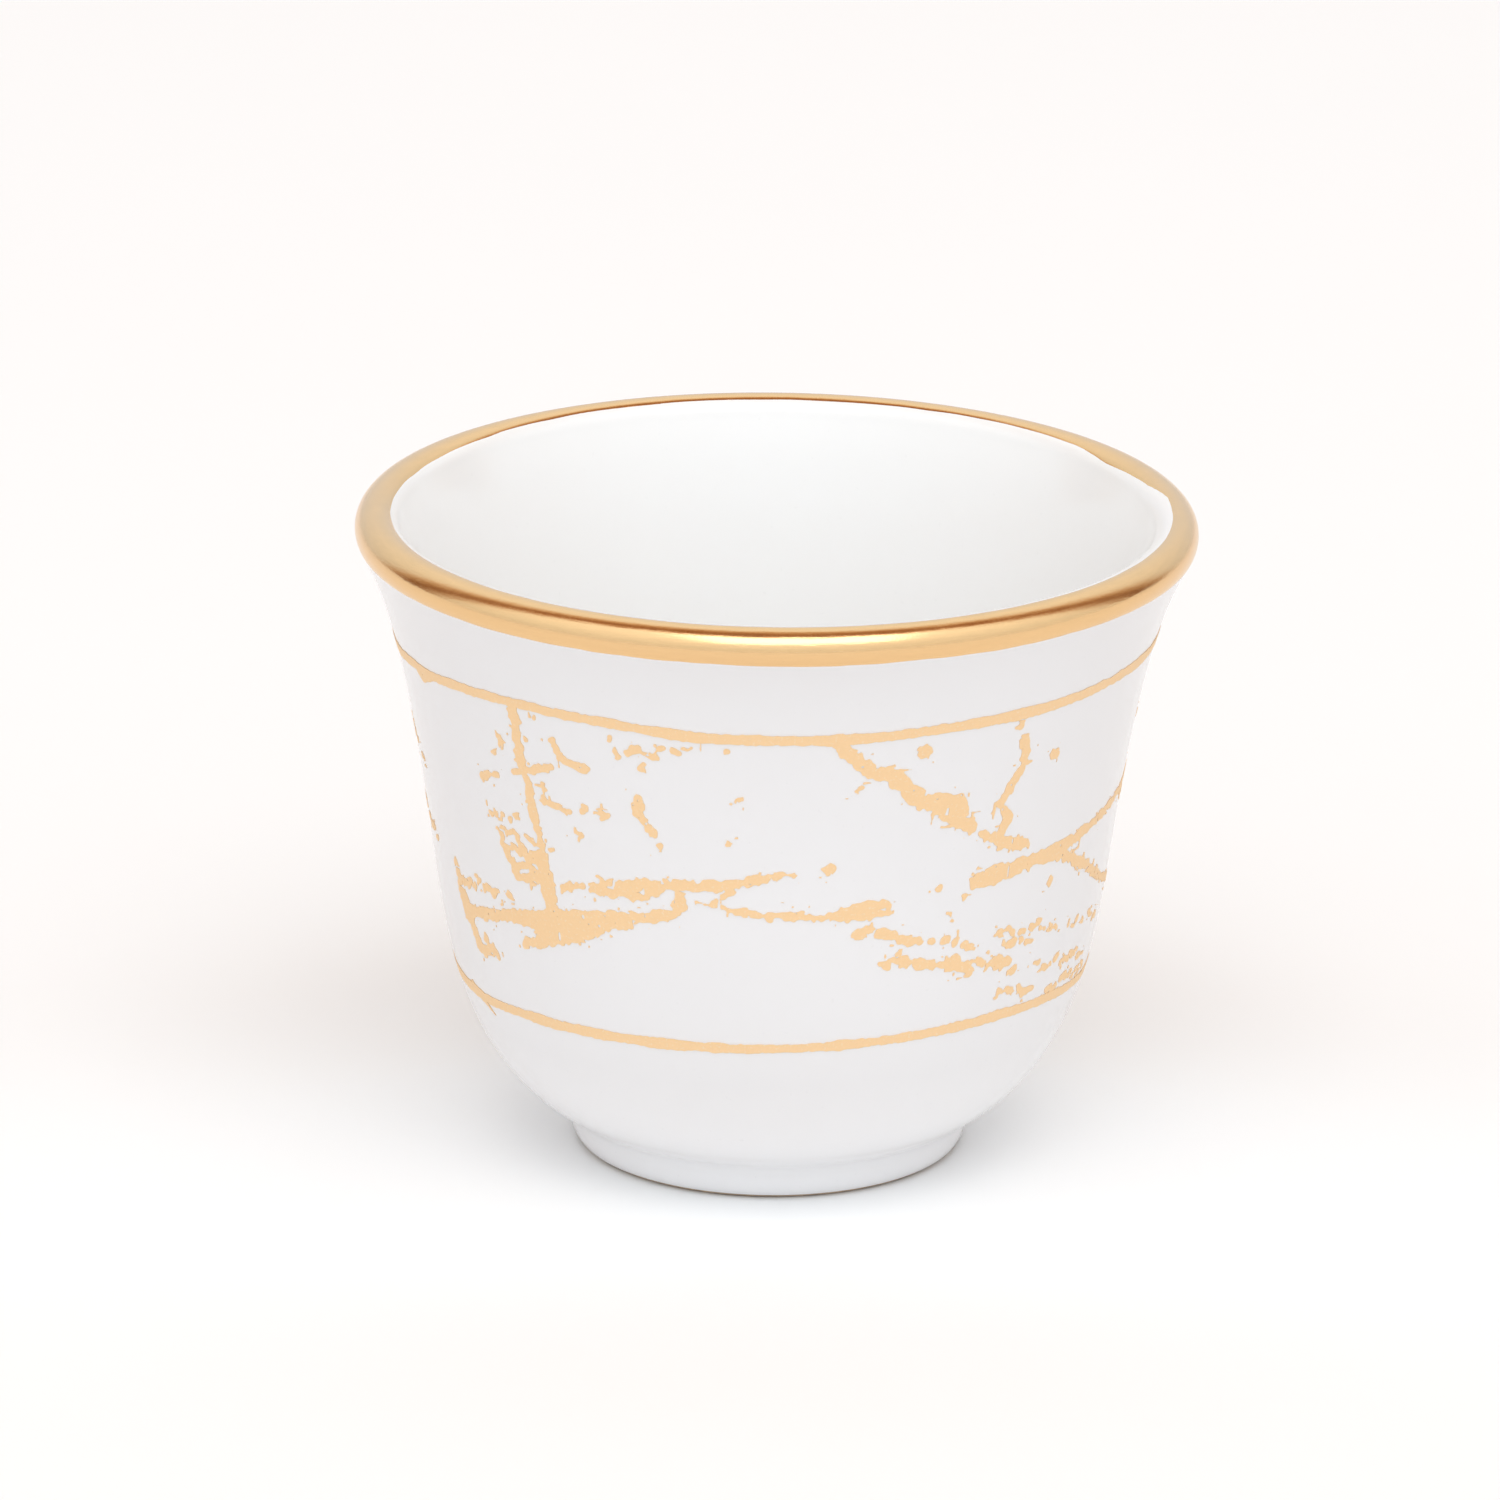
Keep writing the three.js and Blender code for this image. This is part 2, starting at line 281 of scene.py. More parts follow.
def loop_faces(around, count):
    """Quads between neighbouring copies of a closed loop of `count` points."""
    step, place = np.meshgrid(np.arange(around), np.arange(count), indexing="ij")
    following, onward = (step + 1) % around, (place + 1) % count
    quads = [step * count + place, following * count + place,
             following * count + onward, step * count + onward]
    return np.stack(quads, -1).reshape(-1, 4).tolist()


def turned(loop, around):
    """Points and faces of a loop turned about the axis. Its two points on the axis become poles,
    each met by a fan."""
    angle = np.linspace(0, math.tau, around, endpoint=False)[:, None]
    on_axis = loop[:, 0] < SAME_PLACE
    if not on_axis.any():
        return placed(*loop.T, angle), loop_faces(around, len(loop))
    first = next(i for i in range(len(loop)) if on_axis[i] and on_axis[i - 1])
    loop = np.roll(loop, -first, axis=0)
    body = loop[1:-1]
    count = len(body)
    points = placed(*body.T, angle)
    poles = np.array([[0, 0, loop[0, 1]], [0, 0, loop[-1, 1]]])
    faces = []
    for step in range(around):
        here, after = step * count, (step + 1) % around * count
        faces.append([around * count, after, here])
        faces.append([around * count + 1, here + count - 1, after + count - 1])
        faces += [[here + k, after + k, after + k + 1, here + k + 1] for k in range(count - 1)]
    return np.concatenate([points, poles]), faces


def coat(skin, back):
    """The closed loop between a skin and the line behind it."""
    return np.concatenate([skin, back[::-1]])


# ---- Noise on the unrolled wall ----


def smooth(t):
    """Eases a share from 0 to 1 at both ends."""
    t = np.clip(t, 0, 1)
    return t * t * (3 - 2 * t)


def mottle(along, up, size, turn, seed):
    """Smooth noise from -1 to 1 with features of one size, repeating after `turn` along."""
    cells, rows = max(round(turn / size), 1), 256
    knots = np.random.default_rng(seed).uniform(-1, 1, (cells, rows))
    x, y = along / turn * cells, up / size + rows / 4
    i, j = np.floor(x).astype(int), np.floor(y).astype(int)
    across, climb = smooth(x - i), smooth(y - j)

    def corner(p, q):
        return knots[(i + p) % cells, (j + q) % rows]

    low = corner(0, 0) * (1 - across) + corner(1, 0) * across
    high = corner(0, 1) * (1 - across) + corner(1, 1) * across
    return low * (1 - climb) + high * climb


# ---- Shader maths ----


class Flow:
    """A node's output, on which sums can be written as they are for numbers."""

    def __init__(self, finish, socket):
        self.finish, self.socket = finish, socket

    def _sum(self, operation, *values):
        inputs = dict(enumerate(values))
        return self.finish.node("ShaderNodeMath", {"operation": operation}, inputs)

    def __add__(self, other):
        return self._sum("ADD", self, other)

    def __radd__(self, other):
        return self._sum("ADD", other, self)

    def __sub__(self, other):
        return self._sum("SUBTRACT", self, other)

    def __rsub__(self, other):
        return self._sum("SUBTRACT", other, self)

    def __mul__(self, other):
        return self._sum("MULTIPLY", self, other)

    def __rmul__(self, other):
        return self._sum("MULTIPLY", other, self)

    def __truediv__(self, other):
        return self._sum("DIVIDE", self, other)

    def angle_to(self, other):
        return self._sum("ARCTAN2", self, other)


class Nodes:
    """A tree of nodes under construction, in a material or in the world."""

    def __init__(self, holder):
        self.holder = holder
        holder.use_nodes = True
        self.tree = holder.node_tree
        self.tree.nodes.clear()

    def node(self, kind, settings=None, inputs=None, output=0):
        """Adds a node: its settings first, then its sockets' values or links."""
        made = self.tree.nodes.new(kind)
        for key, value in (settings or {}).items():
            if key == "stops":
                self._set_stops(made.color_ramp, value)
            else:
                setattr(made, key, value)
        for key, value in (inputs or {}).items():
            if isinstance(value, Flow):
                self.tree.links.new(value.socket, made.inputs[key])
            else:
                made.inputs[key].default_value = value
        return Flow(self, made.outputs[output]) if len(made.outputs) else made

    @staticmethod
    def _set_stops(ramp, stops):
        while len(ramp.elements) < len(stops):
            ramp.elements.new(1)
        for element, (place, shade) in zip(ramp.elements, stops):
            shades = shade if isinstance(shade, tuple) else (shade, shade, shade)
            element.position, element.color = place, (*shades, 1)

    def axes(self, place):
        """The three parts of a place or a direction."""
        return [self.node("ShaderNodeSeparateXYZ", inputs={0: place}, output=k) for k in range(3)]

    def ramp(self, value, *stops):
        """A value taken through a ramp of (place, shade) stops."""
        return self.node("ShaderNodeValToRGB", {"stops": stops}, {0: value})


class Finish(Nodes):
    """A material built from nodes."""

    def __init__(self, name):
        super().__init__(bpy.data.materials.new(name))

    def place(self):
        """Where a point of the surface is, in millimetres."""
        here = self.node("ShaderNodeTexCoord", output="Object")
        return self.node(
            "ShaderNodeVectorMath", {"operation": "SCALE"}, {0: here, "Scale": 1 / MM})

    def wrapped(self, radius):
        """Where a point is on the wall unrolled at a radius: (along, across, up), in millimetres."""
        x, y, z = self.axes(self.place())
        along = x.angle_to(0 - y) * (radius / MM)
        return self.node("ShaderNodeCombineXYZ", inputs={0: along, 1: 0.0, 2: z})

    def noise(self, place, per_mm, detail=2.0, rough=0.5):
        """Noise from 0 to 1 with so many features to the millimetre."""
        return self.node(
            "ShaderNodeTexNoise", {"noise_dimensions": "3D"},
            {"Vector": place, "Scale": per_mm, "Detail": detail, "Roughness": rough})

    def blend(self, share, one, other):
        """A colour between two colours."""
        one, other = [c if isinstance(c, Flow) else (*c, 1.0) for c in (one, other)]
        mixed_colour = 2
        return self.node(
            "ShaderNodeMix", {"data_type": "RGBA"}, {0: share, 6: one, 7: other}, mixed_colour)

    def stretch(self, place, scale):
        """A place scaled along each axis, so that noise on it is drawn out."""
        return self.node("ShaderNodeVectorMath", {"operation": "MULTIPLY"}, {0: place, 1: scale})

    def bump(self, height, depth):
        """A normal from a height that runs from 0 to 1 over a real depth."""
        return self.node(
            "ShaderNodeBump", inputs={"Strength": 1.0, "Distance": depth, "Height": height})

    def surface(self, sockets):
        """Ends the tree in one surface shader and gives the material back."""
        shader = self.node("ShaderNodeBsdfPrincipled", inputs=sockets)
        self.node("ShaderNodeOutputMaterial", inputs={0: shader})
        return self.holder


def tinted(shade, factor):
    """A colour made lighter or darker."""
    return tuple(min(c * factor, 1) for c in shade)


def clear_gloss(name, white, cup):
    """Gloss over white porcelain, with a fused coat's slow waves and a few faint specks, and
    with painted light that makes it whiter towards the foot."""
    skin = Finish(name)
    place = skin.place()
    _, _, up = skin.axes(place)
    cloud = skin.noise(place, per_mm=0.05, detail=2)
    waves = skin.noise(place, per_mm=0.16, detail=1)
    speck = skin.ramp(skin.noise(place, per_mm=3.2, detail=0), (0.80, 0.0), (0.86, 1.0))
    # Painted light: thin is 1 near the foot and fades to 0 by a quarter of the height, drawing the
    # glaze whiter there in place of the light that the foot catches.
    thin = skin.ramp(up / (cup.height / MM), (0.08, 1.0), (0.24, 0.0))
    tone = skin.blend(cloud, tinted(white, 0.985), tinted(white, 1.01))
    # Painted light: whiter towards the foot.
    tone = skin.blend(thin * 0.5, tone, tinted(white, 1.2))
    return skin.surface({
        "Base Color": skin.blend(speck * 0.12, tone, tinted(white, 0.8)),
        "Roughness": 0.13 + cloud * 0.08,
        "IOR": 1.5,
        "Normal": skin.bump(waves, 0.02 * MM)})


def bare_clay(colours):
    """Unglazed fired clay, tan and finely gritty, darker where the foot has picked up dust."""
    clay = Finish("bare_clay")
    place = clay.place()
    grit = clay.noise(place, per_mm=7.0, detail=4, rough=0.7)
    stain = clay.ramp(clay.noise(place, per_mm=0.7, detail=3), (0.42, 0.0), (0.66, 1.0))
    tone = clay.blend(grit, tinted(colours.clay, 0.85), tinted(colours.clay, 1.2))
    return clay.surface({
        "Base Color": clay.blend(stain * 0.5, tone, tinted(colours.clay, 0.62)),
        "Roughness": 0.82 + grit * 0.12,
        "Normal": clay.bump(grit, 0.03 * MM)})


def lip_gold(colours, radius):
    """Burnished gold laid on with a brush as the cup turned, so its streaks run round the lip."""
    gold = Finish("lip_gold")
    wrapped = gold.wrapped(radius)
    long_way, short_way = (0.10, 1.0, 1.0), (0.35, 1.0, 1.0)
    streak = gold.noise(gold.stretch(wrapped, long_way), per_mm=5.0, detail=3, rough=0.6)
    grain = gold.noise(wrapped, per_mm=6.0, detail=3, rough=0.6)
    patches = gold.noise(gold.stretch(wrapped, short_way), per_mm=2.4, detail=2)
    thin = gold.ramp(patches, (0.66, 0.0), (0.78, 1.0))
    tone = gold.blend(streak, tinted(colours.rim, 0.93), tinted(colours.rim, 1.05))
    return gold.surface({
        "Base Color": gold.blend(thin * 0.25, tone, tinted(colours.rim, 1.12)),
        "Metallic": 1.0,
        "Roughness": 0.13 + streak * 0.08 + grain * 0.06,
        "Normal": gold.bump(streak * 0.6 + grain * 0.4, 0.02 * MM)})


def print_gold(colours, radius):
    """Matte gold of a transfer, broken by the fine grain of its dots."""
    gold = Finish("print_gold")
    wrapped = gold.wrapped(radius)
    grain = gold.noise(wrapped, per_mm=3.4, detail=3, rough=0.65)
    bare = gold.ramp(gold.noise(wrapped, per_mm=4.2, detail=1), (0.60, 0.0), (0.74, 1.0))
    worn_through = (0.86, 0.78, 0.66)
    tone = gold.blend(grain, tinted(colours.transfer, 0.95), tinted(colours.transfer, 1.05))
    return gold.surface({
        "Base Color": gold.blend(bare * 0.35, tone, worn_through),
        "Metallic": 0.3,
        "Roughness": 0.5 + grain * 0.14,
        "Normal": gold.bump(grain, 0.008 * MM)})


def studio_white():
    """Matte white of the table."""
    table = Finish("studio_white")
    fibre = table.noise(table.place(), per_mm=0.02, detail=2)
    return table.surface({
        "Base Color": table.blend(fibre, (0.936, 0.949, 0.951), (0.946, 0.957, 0.959)),
        "Roughness": 0.9 + fibre * 0.05,
        "Specular IOR Level": 0.1})


# ---- The gilding and the print ----

# How far the brush carried the lip's gold over the crest, as (angle from the front, degrees of
# the lip's round). A flat sweep of the brush left a wide place and a point at the back right.
INNER_EDGE = (
    (-180, 32), (-150, 34), (-120, 44), (-105, 46), (-90, 41), (-75, 33), (-60, 18), (-45, 12),
    (0, 8), (45, 8), (75, 9), (90, 14), (97, 14), (105, 38), (119, 50), (128, 35), (150, 32),
    (180, 32))

# Places on the wall are (angle from the front in degrees, height in mm, half width in mm). One
# repeat of the print faces the front and another the back.
STROKES = {
    "upright": ((-42, 43.6, 0.5), (-42, 41, 0.4), (-42, 38, 0.45), (-41, 36, 0.2),
                (-41, 34.3, 0.4), (-40, 32.2, 0.3), (-40, 30, 0.55), (-39, 26.4, 0.65)),
    "crossbar": ((-44, 37.1, 0.35), (-41, 37.6, 0.25), (-36, 38.4, 0.25)),
    "crossbar_end": ((-52, 35.7, 0.25), (-48, 36.3, 0.25)),
    "tick": ((-35, 40.8, 0.4), (-34, 39.5, 0.2), (-30, 39, 0.45)),
    "comma": ((-21, 37.2, 0.3), (-21, 35.9, 0.5), (-19, 34.3, 0.3)),
    "hook": ((-38, 36.7, 0.12), (-38, 35.2, 0.25), (-33, 34.9, 0.2)),
    "bramble_left": ((-49, 31.4, 0.25), (-48, 29.7, 0.35), (-46, 27.9, 0.3), (-41, 28.5, 0.5)),
    "bramble_right": ((-46, 32, 0.2), (-43, 29.6, 0.4), (-40, 30.7, 0.35)),
    "corner": ((-66, 26.4, 0.3), (-65, 24.5, 0.55), (-63, 22.6, 0.75), (-61.5, 21.1, 0.45),
               (-60, 19.9, 0.6), (-55, 20.3, 0.45)),
    "wedge": ((-63, 22.7, 0.5), (-48, 24.3, 0.5), (-44, 24.6, 0.8), (-40, 24.4, 1.35),
              (-34, 25, 1.35), (-29, 25.9, 0.9), (-23, 26.7, 0.6), (-15, 27.6, 0.2)),
    "wedge_foot": ((-46, 22.2, 0.3), (-38, 23.6, 0.6)),
    "row_start": ((-36, 28.2, 0.4), (-32, 28.7, 0.25)),
    "row": ((-30, 28.6, 0.4), (-26, 29, 0.65), (-22, 29.3, 0.9), (-17, 29.8, 0.5),
            (-7, 30.3, 0.35), (-3, 30.9, 0.35), (4, 31.4, 0.12)),
    "drop": ((-15, 29.4, 0.4), (-15, 28.3, 0.6)),
    "thin": ((-12, 28.7, 0.15), (-2, 27.8, 0.27), (1, 27.8, 0.2), (5, 27.8, 0.35),
             (8, 27.6, 0.2), (13, 27.9, 0.6), (16, 28, 0.8), (19, 28.2, 0.55)),
    "thin_fork": ((-10, 28.5, 0.2), (-6, 29.8, 0.2)),
    "diagonal": ((9, 43, 0.45), (12, 41.3, 0.6), (15, 40, 0.5), (19, 39.3, 0.65),
                 (23, 37.3, 0.6), (26, 36.7, 0.8), (29, 36, 1.1), (33, 33.9, 0.5)),
    "stub": ((35, 33.3, 0.35), (39, 32.2, 0.5), (45, 31.3, 0.35)),
    "right_upright": ((41, 40.8, 0.35), (42, 38.6, 0.4), (40, 37, 0.27), (38, 35.6, 0.3),
                      (40, 34.2, 0.5), (39, 32.6, 0.3)),
    "lobe": ((35, 29.2, 0.65), (42, 29.4, 0.75), (46, 29.7, 0.55), (53, 29.7, 0.75),
             (57, 29.9, 0.5), (66, 30.6, 0.35), (80, 31.2, 0.3), (91, 32.1, 0.2)),
    "arm": ((54, 29.4, 0.5), (59, 28.3, 0.4), (75, 24.3, 0.3), (90, 22, 0.2)),
}

# Rows of short flecks, from one place to another, with so many degrees between the flecks.
FLECK_SPACING = 2.1
FLECK_ROWS = (
    ((13, 26.4, 0.32), (37, 23.5, 0.3)), ((18, 23.6, 0.45), (47, 20.7, 0.42)),
    ((40, 24.5, 0.3), (57, 23, 0.15)), ((42, 23.1, 0.3), (50, 22.4, 0.25)),
    ((42, 19.1, 0.42), (53, 17.9, 0.25)), ((52, 20.1, 0.25), (72, 18.5, 0.2)),
    ((60, 22.5, 0.15), (77, 21.3, 0.2)), ((58, 17.4, 0.3), (75, 16.8, 0.25)),
    ((-25, 40.4, 0.2), (-12, 42.2, 0.25)), ((-60, 26.3, 0.2), (-50, 25.1, 0.2)),
    ((-51, 32.8, 0.2), (-44, 33.2, 0.25)), ((-50, 31.6, 0.2), (-42, 31.4, 0.3)),
    ((-48, 30.3, 0.25), (-41, 30, 0.3)), ((-46, 29, 0.3), (-40, 28.8, 0.35)),
    ((-66, 25.2, 0.3), (-47, 26, 0.2)), ((-31, 35.2, 0.12), (-25, 35.1, 0.2)),
    ((-100, 30.5, 0.25), (-74, 27, 0.2)), ((-96, 37, 0.15), (-76, 33, 0.15)))

# Loose dots.
DOTS = (
    (9, 31.6, 0.4), (23, 41.2, 0.4), (48, 38.6, 0.38), (13, 38.4, 0.18), (39, 42.1, 0.25),
    (28, 29.2, 0.22), (33, 27.9, 0.2), (53, 27.2, 0.28), (31, 26.2, 0.25), (-20, 39.8, 0.25),
    (-25, 41.8, 0.2), (-18, 33.1, 0.25), (-7, 41.7, 0.15), (-7, 33.7, 0.22), (-5, 37.6, 0.15),
    (-32, 32.9, 0.2), (-38, 42.4, 0.2), (-48, 38.2, 0.3), (-46, 39.2, 0.25), (-49, 25.9, 0.3),
    (-38, 31.1, 0.2), (-58, 20.9, 0.35))

# The course of each line round the wall, as (angle, height in mm), and the blot where the
# transfer's two ends meet.
UPPER_COURSE = (
    (-180, 43.2), (-110, 42.6), (-78, 42.2), (-69, 42.65), (-63, 42.6), (-54, 43), (-40, 43.4),
    (-26, 43.4), (-11, 43), (13, 42.95), (28, 43.2), (46, 43.15), (62, 43.35), (110, 43.2),
    (180, 43.2))
UPPER_BLOT = ((-67.5, 42.25, 0.4), (-66, 41.8, 0.4), (-63, 42.3, 0.4))
LOWER_COURSE = (
    (-180, 16.2), (-90, 15.2), (-61, 15.2), (-51, 15.6), (-24, 16), (2, 16.25), (20, 16.5),
    (45, 16.7), (60, 16.35), (75, 15.8), (110, 15.6), (180, 16.2))
LOWER_BLOT = ((-68, 15.7, 0.25), (-64, 14.9, 0.4), (-60.5, 14, 0.1))


class UnrolledWall:
    """A grid of places on the printed wall, unrolled at the waist."""

    def __init__(self, section, cup, gold, low, high):
        self.section, self.cup, self.gold = section, cup, gold
        self.turn = math.tau * cup.waist / MM
        self.columns = round(self.turn / (gold.cell / MM))
        self.rows = round((high - low) / gold.cell) + 1
        self.angle = np.linspace(0, math.tau, self.columns, endpoint=False)
        self.height = np.linspace(low, high, self.rows)
        self.along, self.up = np.meshgrid(
            self.angle * cup.waist / MM, self.height / MM, indexing="ij")

    def reach(self, along):
        """Distances along the wall from some place, the short way round."""
        return (self.along - along + self.turn / 2) % self.turn - self.turn / 2

    def stroke(self, places, facing=0):
        """How far inside a stroke each place is, in mm; below 0 outside."""
        best = np.full(self.along.shape, -self.turn)
        per_degree = self.turn / 360
        places = [((angle + facing) * per_degree, height, half) for angle, height, half in places]
        for (x0, y0, w0), (x1, y1, w1) in zip(places, places[1:]):
            across, climb = self.reach(x0), self.up - y0
            run, rise = x1 - x0, y1 - y0
            share = np.clip((across * run + climb * rise) / (run**2 + rise**2), 0, 1)
            distance = np.hypot(across - run * share, climb - rise * share)
            best = np.maximum(best, w0 + (w1 - w0) * share - distance)
        return best

    def above(self, course):
        """How far above a line's course each place is, in mm."""
        angle = (self.along / self.turn * 360 + 180) % 360 - 180
        return self.up - np.interp(angle, *zip(*course))

    def noise(self, size, seed):
        """Smooth noise over the grid."""
        return mottle(self.along, self.up, size, self.turn, seed)


def contour(field):
    """Cuts a grid of values at 0, and returns points in grid steps, the faces above 0 and the
    rim's edges. The grid's first axis wraps round, and its second ends below 0."""
    columns = len(field)
    below, above = -1e-3, 1e-6
    field = field.copy()
    field[:, 0] = np.minimum(field[:, 0], below)
    field[:, -1] = np.minimum(field[:, -1], below)
    field[field == 0] = above
    points, index = [], {}
    shortest = 0.02  # of a cell's side, so that no face is a sliver

    def corner(i, j):
        key = (i % columns, j)
        if key not in index:
            index[key] = len(points)
            points.append((i % columns, j))
        return index[key]

    def crossing(i, j, p, q):
        (i, j), (p, q) = sorted(((i, j), (p, q)))
        key = (i % columns, j, p - i)
        if key not in index:
            a, b = field[i % columns, j], field[p % columns, q]
            share = min(max(a / (a - b), shortest), 1 - shortest)
            index[key] = len(points)
            points.append((i % columns + (p - i) * share, j + (q - j) * share))
        return index[key]

    inside = field > 0
    wrapped = np.concatenate([inside, inside[:1]])
    count = (wrapped[:-1, :-1].astype(int) + wrapped[1:, :-1]
             + wrapped[1:, 1:] + wrapped[:-1, 1:])
    faces, rim = [], []
    for i, j in np.argwhere(count > 0):
        square = [(i, j), (i + 1, j), (i + 1, j + 1), (i, j + 1)]
        kept = [bool(wrapped[p, q]) for p, q in square]
        if all(kept):
            faces.append([corner(p, q) for p, q in square])
            continue
        runs = []
        for k in range(4):
            if kept[k] and not kept[k - 1]:
                run = [crossing(*square[k - 1], *square[k])]
                m = k
                while kept[m % 4]:
                    run.append(corner(*square[m % 4]))
                    m += 1
                run.append(crossing(*square[(m - 1) % 4], *square[m % 4]))
                runs.append(run)
        faces += runs
        rim += [(run[-1], run[0]) for run in runs]
    return np.array(points, float).reshape(-1, 2), faces, rim


def gold_film(name, wall, field, thickness, finish, slot, *nodes):
    """A closed film of gold on the wall wherever the field is above 0."""
    steps, faces, rim = contour(field)
    if not len(faces):
        raise RuntimeError(f"{name} has no gold")
    angle = steps[:, 0] / wall.columns * math.tau
    height = wall.height[0] + steps[:, 1] * (wall.height[1] - wall.height[0])
    radius = wall.section.radius_at(height)
    count = len(steps)
    points = np.concatenate([
        placed(radius + thickness, height, angle),
        placed(radius - wall.cup.glaze * GOLD_SINKS, height, angle)])
    films = faces + [[count + k for k in reversed(face)] for face in faces]
    films += [[b, a, count + a, count + b] for a, b in rim]
    return add_piece(name, fired(points, wall.cup), films, finish, slot, *nodes)


# ---- The studio ----

# Shades of the room from in front of the cup, over it and down behind: white fill, the dim warm
# room, and the white sweep.
ROOM_SHADES = (
    (0.0, (0.82, 0.84, 0.86)), (0.47, (0.81, 0.83, 0.85)), (0.53, (0.42, 0.22, 0.09)),
    (0.57, (0.15, 0.055, 0.018)), (0.62, (0.26, 0.12, 0.045)), (0.67, (0.52, 0.37, 0.24)),
    (0.73, (0.70, 0.73, 0.77)), (1.0, (0.71, 0.74, 0.78)))
ROOM_STRENGTH = 1.62
WALL_LEVEL = 0.77  # brightness of the room's walls, as a share of its ceiling's
SOFTBOX_STRENGTH = 1.8  # times white


# ---- Operators ----


def shared_finish(name, make, *values):
    """A finish made once and then shared."""
    return bpy.data.materials.get(name) or make(*values)


class TEACUP_OT_fired_clay(bpy.types.Operator):
    """Build the fired bowl and the foot ring that it stands on"""

    bl_idname = "teacup.fired_clay"
    bl_label = "Fired Clay"

    def execute(self, context):
        cup = context.scene.cup_shape
        section = Section(cup)
        clay = shared_finish("bare_clay", bare_clay, context.scene.cup_colours)
        outer, inner = beside(section.outer, -cup.glaze), beside(section.inner, -cup.glaze)
        outer[-1] = inner[0] = (cup.mouth - cup.lip_round, cup.height - cup.glaze)
        inner[-1] = (0, cup.recess + cup.floor - cup.glaze)
        under = beside(section.under, -cup.glaze)
        under[0, 0] = 0
        joint = cup.recess + cup.glaze
        split = int(np.argmax(outer[:, 1] > joint))
        seam = np.array([[np.interp(joint, outer[:split + 1, 1], outer[:split + 1, 0]), joint]])
        at_joint = np.isclose(under[:, 1], joint)
        roof, ring_inside = under[at_joint], under[~at_joint]
        bowl = chain(roof, seam, outer[split:], inner)
        add_piece("porcelain_bowl", *self.shape(bowl, cup), clay, "bare_porcelain", "bowl")
        edge = cup.foot_edge * 0.9
        inner_edge = np.array([section.under[-1, 0] + cup.glaze + edge, edge])
        outer_edge = np.array([section.outer[0, 0] - cup.glaze - edge, edge])
        rest = chain(
            arc(inner_edge, edge, math.pi, math.pi * 1.5, steps=6),
            arc(outer_edge, edge, -math.pi / 2, 0, steps=6))
        ring = chain(rest, outer[1:split], seam, roof[-1:], ring_inside)
        add_piece("foot_ring_porcelain", *self.shape(ring, cup), clay, "bare_porcelain", "foot_ring")
        return {"FINISHED"}

    @staticmethod
    def shape(loop, cup):
        """A loop of the section turned and then moved by the kiln."""
        points, faces = turned(loop, cup.around)
        return fired(points, cup), faces


class TEACUP_OT_glaze(bpy.types.Operator):
    """Coat the cup with glaze outside, inside and under the foot"""

    bl_idname = "teacup.glaze"
    bl_label = "Glaze"

    def execute(self, context):
        cup = context.scene.cup_shape
        section = Section(cup)
        colours = context.scene.cup_colours
        # Painted shade: the outside and the recess under the foot take the darker copy of the one
        # white glaze.
        outer_skin = clear_gloss("outer_gloss", colours.glaze, cup)
        inner_skin = clear_gloss("inner_gloss", colours.lining, cup)
        coats = {"outer_glaze": (section.outer, outer_skin),
                 "inner_glaze": (section.inner, inner_skin),
                 "recess_glaze": (section.under, outer_skin)}
        crest = (cup.mouth - cup.lip_round, cup.height - cup.glaze)
        clear_of_clay = 0.98
        for node, (line, skin) in coats.items():
            back = beside(line, -cup.glaze * clear_of_clay)
            if node == "outer_glaze":
                back[-1] = crest
            if node == "inner_glaze":
                back[0] = crest
            back[line[:, 0] < SAME_PLACE, 0] = 0
            points, faces = turned(coat(line, back), cup.around)
            name = node.replace("glaze", "glaze_coat")
            add_piece(name, fired(points, cup), faces, skin, "white_glaze", node)
        return {"FINISHED"}


class TEACUP_OT_lip_gilding(bpy.types.Operator):
    """Brush the band of gold over the lip"""

    bl_idname = "teacup.lip_gilding"
    bl_label = "Lip Gilding"

    def execute(self, context):
        cup, gold = context.scene.cup_shape, context.scene.cup_gold
        section = Section(cup)
        outer_points, inner_points, around, steps = 30, 24, 720, 30
        path = chain(section.outer[-outer_points:], section.inner[:inner_points])
        travel = np.concatenate([[0], np.cumsum(np.linalg.norm(np.diff(path, axis=0), axis=1))])
        crest = int(np.argmax(path[:, 1]))
        across = sides(path)
        angle = np.linspace(0, math.tau, around, endpoint=False)
        first, last = self.edges(angle, path[:crest, 1], travel[:crest], travel[crest], cup, gold)
        share = np.linspace(0, 1, steps + 1)
        reach = first[:, None] + (last - first)[:, None] * share
        rounding, sunk_edge = 12, 0.01 * MM
        lift = gold.thickness * (1 - np.abs(2 * share - 1) ** rounding) - sunk_edge
        loops = []
        for k in (0, 1):
            skin = np.interp(reach, travel, path[:, k])
            lean = np.interp(reach, travel, across[:, k])
            back = skin - lean * cup.glaze * GOLD_SINKS
            loops.append(np.concatenate([skin + lean * lift, back[:, ::-1]], 1))
        points = placed(*loops, angle[:, None])
        finish = shared_finish("lip_gold", lip_gold, context.scene.cup_colours, cup.mouth)
        faces = loop_faces(around, loops[0].shape[1])
        add_piece("gilded_lip", fired(points, cup), faces, finish, "burnished_gold", "lip_gilding")
        return {"FINISHED"}

    @staticmethod
    def edges(angle, heights, travel, crest, cup, gold):
        """How far along the lip's section the gold starts outside and ends inside, at each angle."""
        along = angle * cup.mouth / MM

        def waver(size, seed):
            return mottle(along, 0 * along, size, math.tau * cup.mouth / MM, seed)

        outside = gold.rim_foot + MM * (0.05 * waver(6, 5) + 0.03 * waver(1.2, 6))
        degrees = (np.degrees(angle) + 180) % 360 - 180
        over = np.radians(np.interp(degrees, *zip(*INNER_EDGE))) * cup.lip_round
        over += 0.04 * MM * waver(2.5, 8)
        return np.interp(outside, heights, travel), crest + over


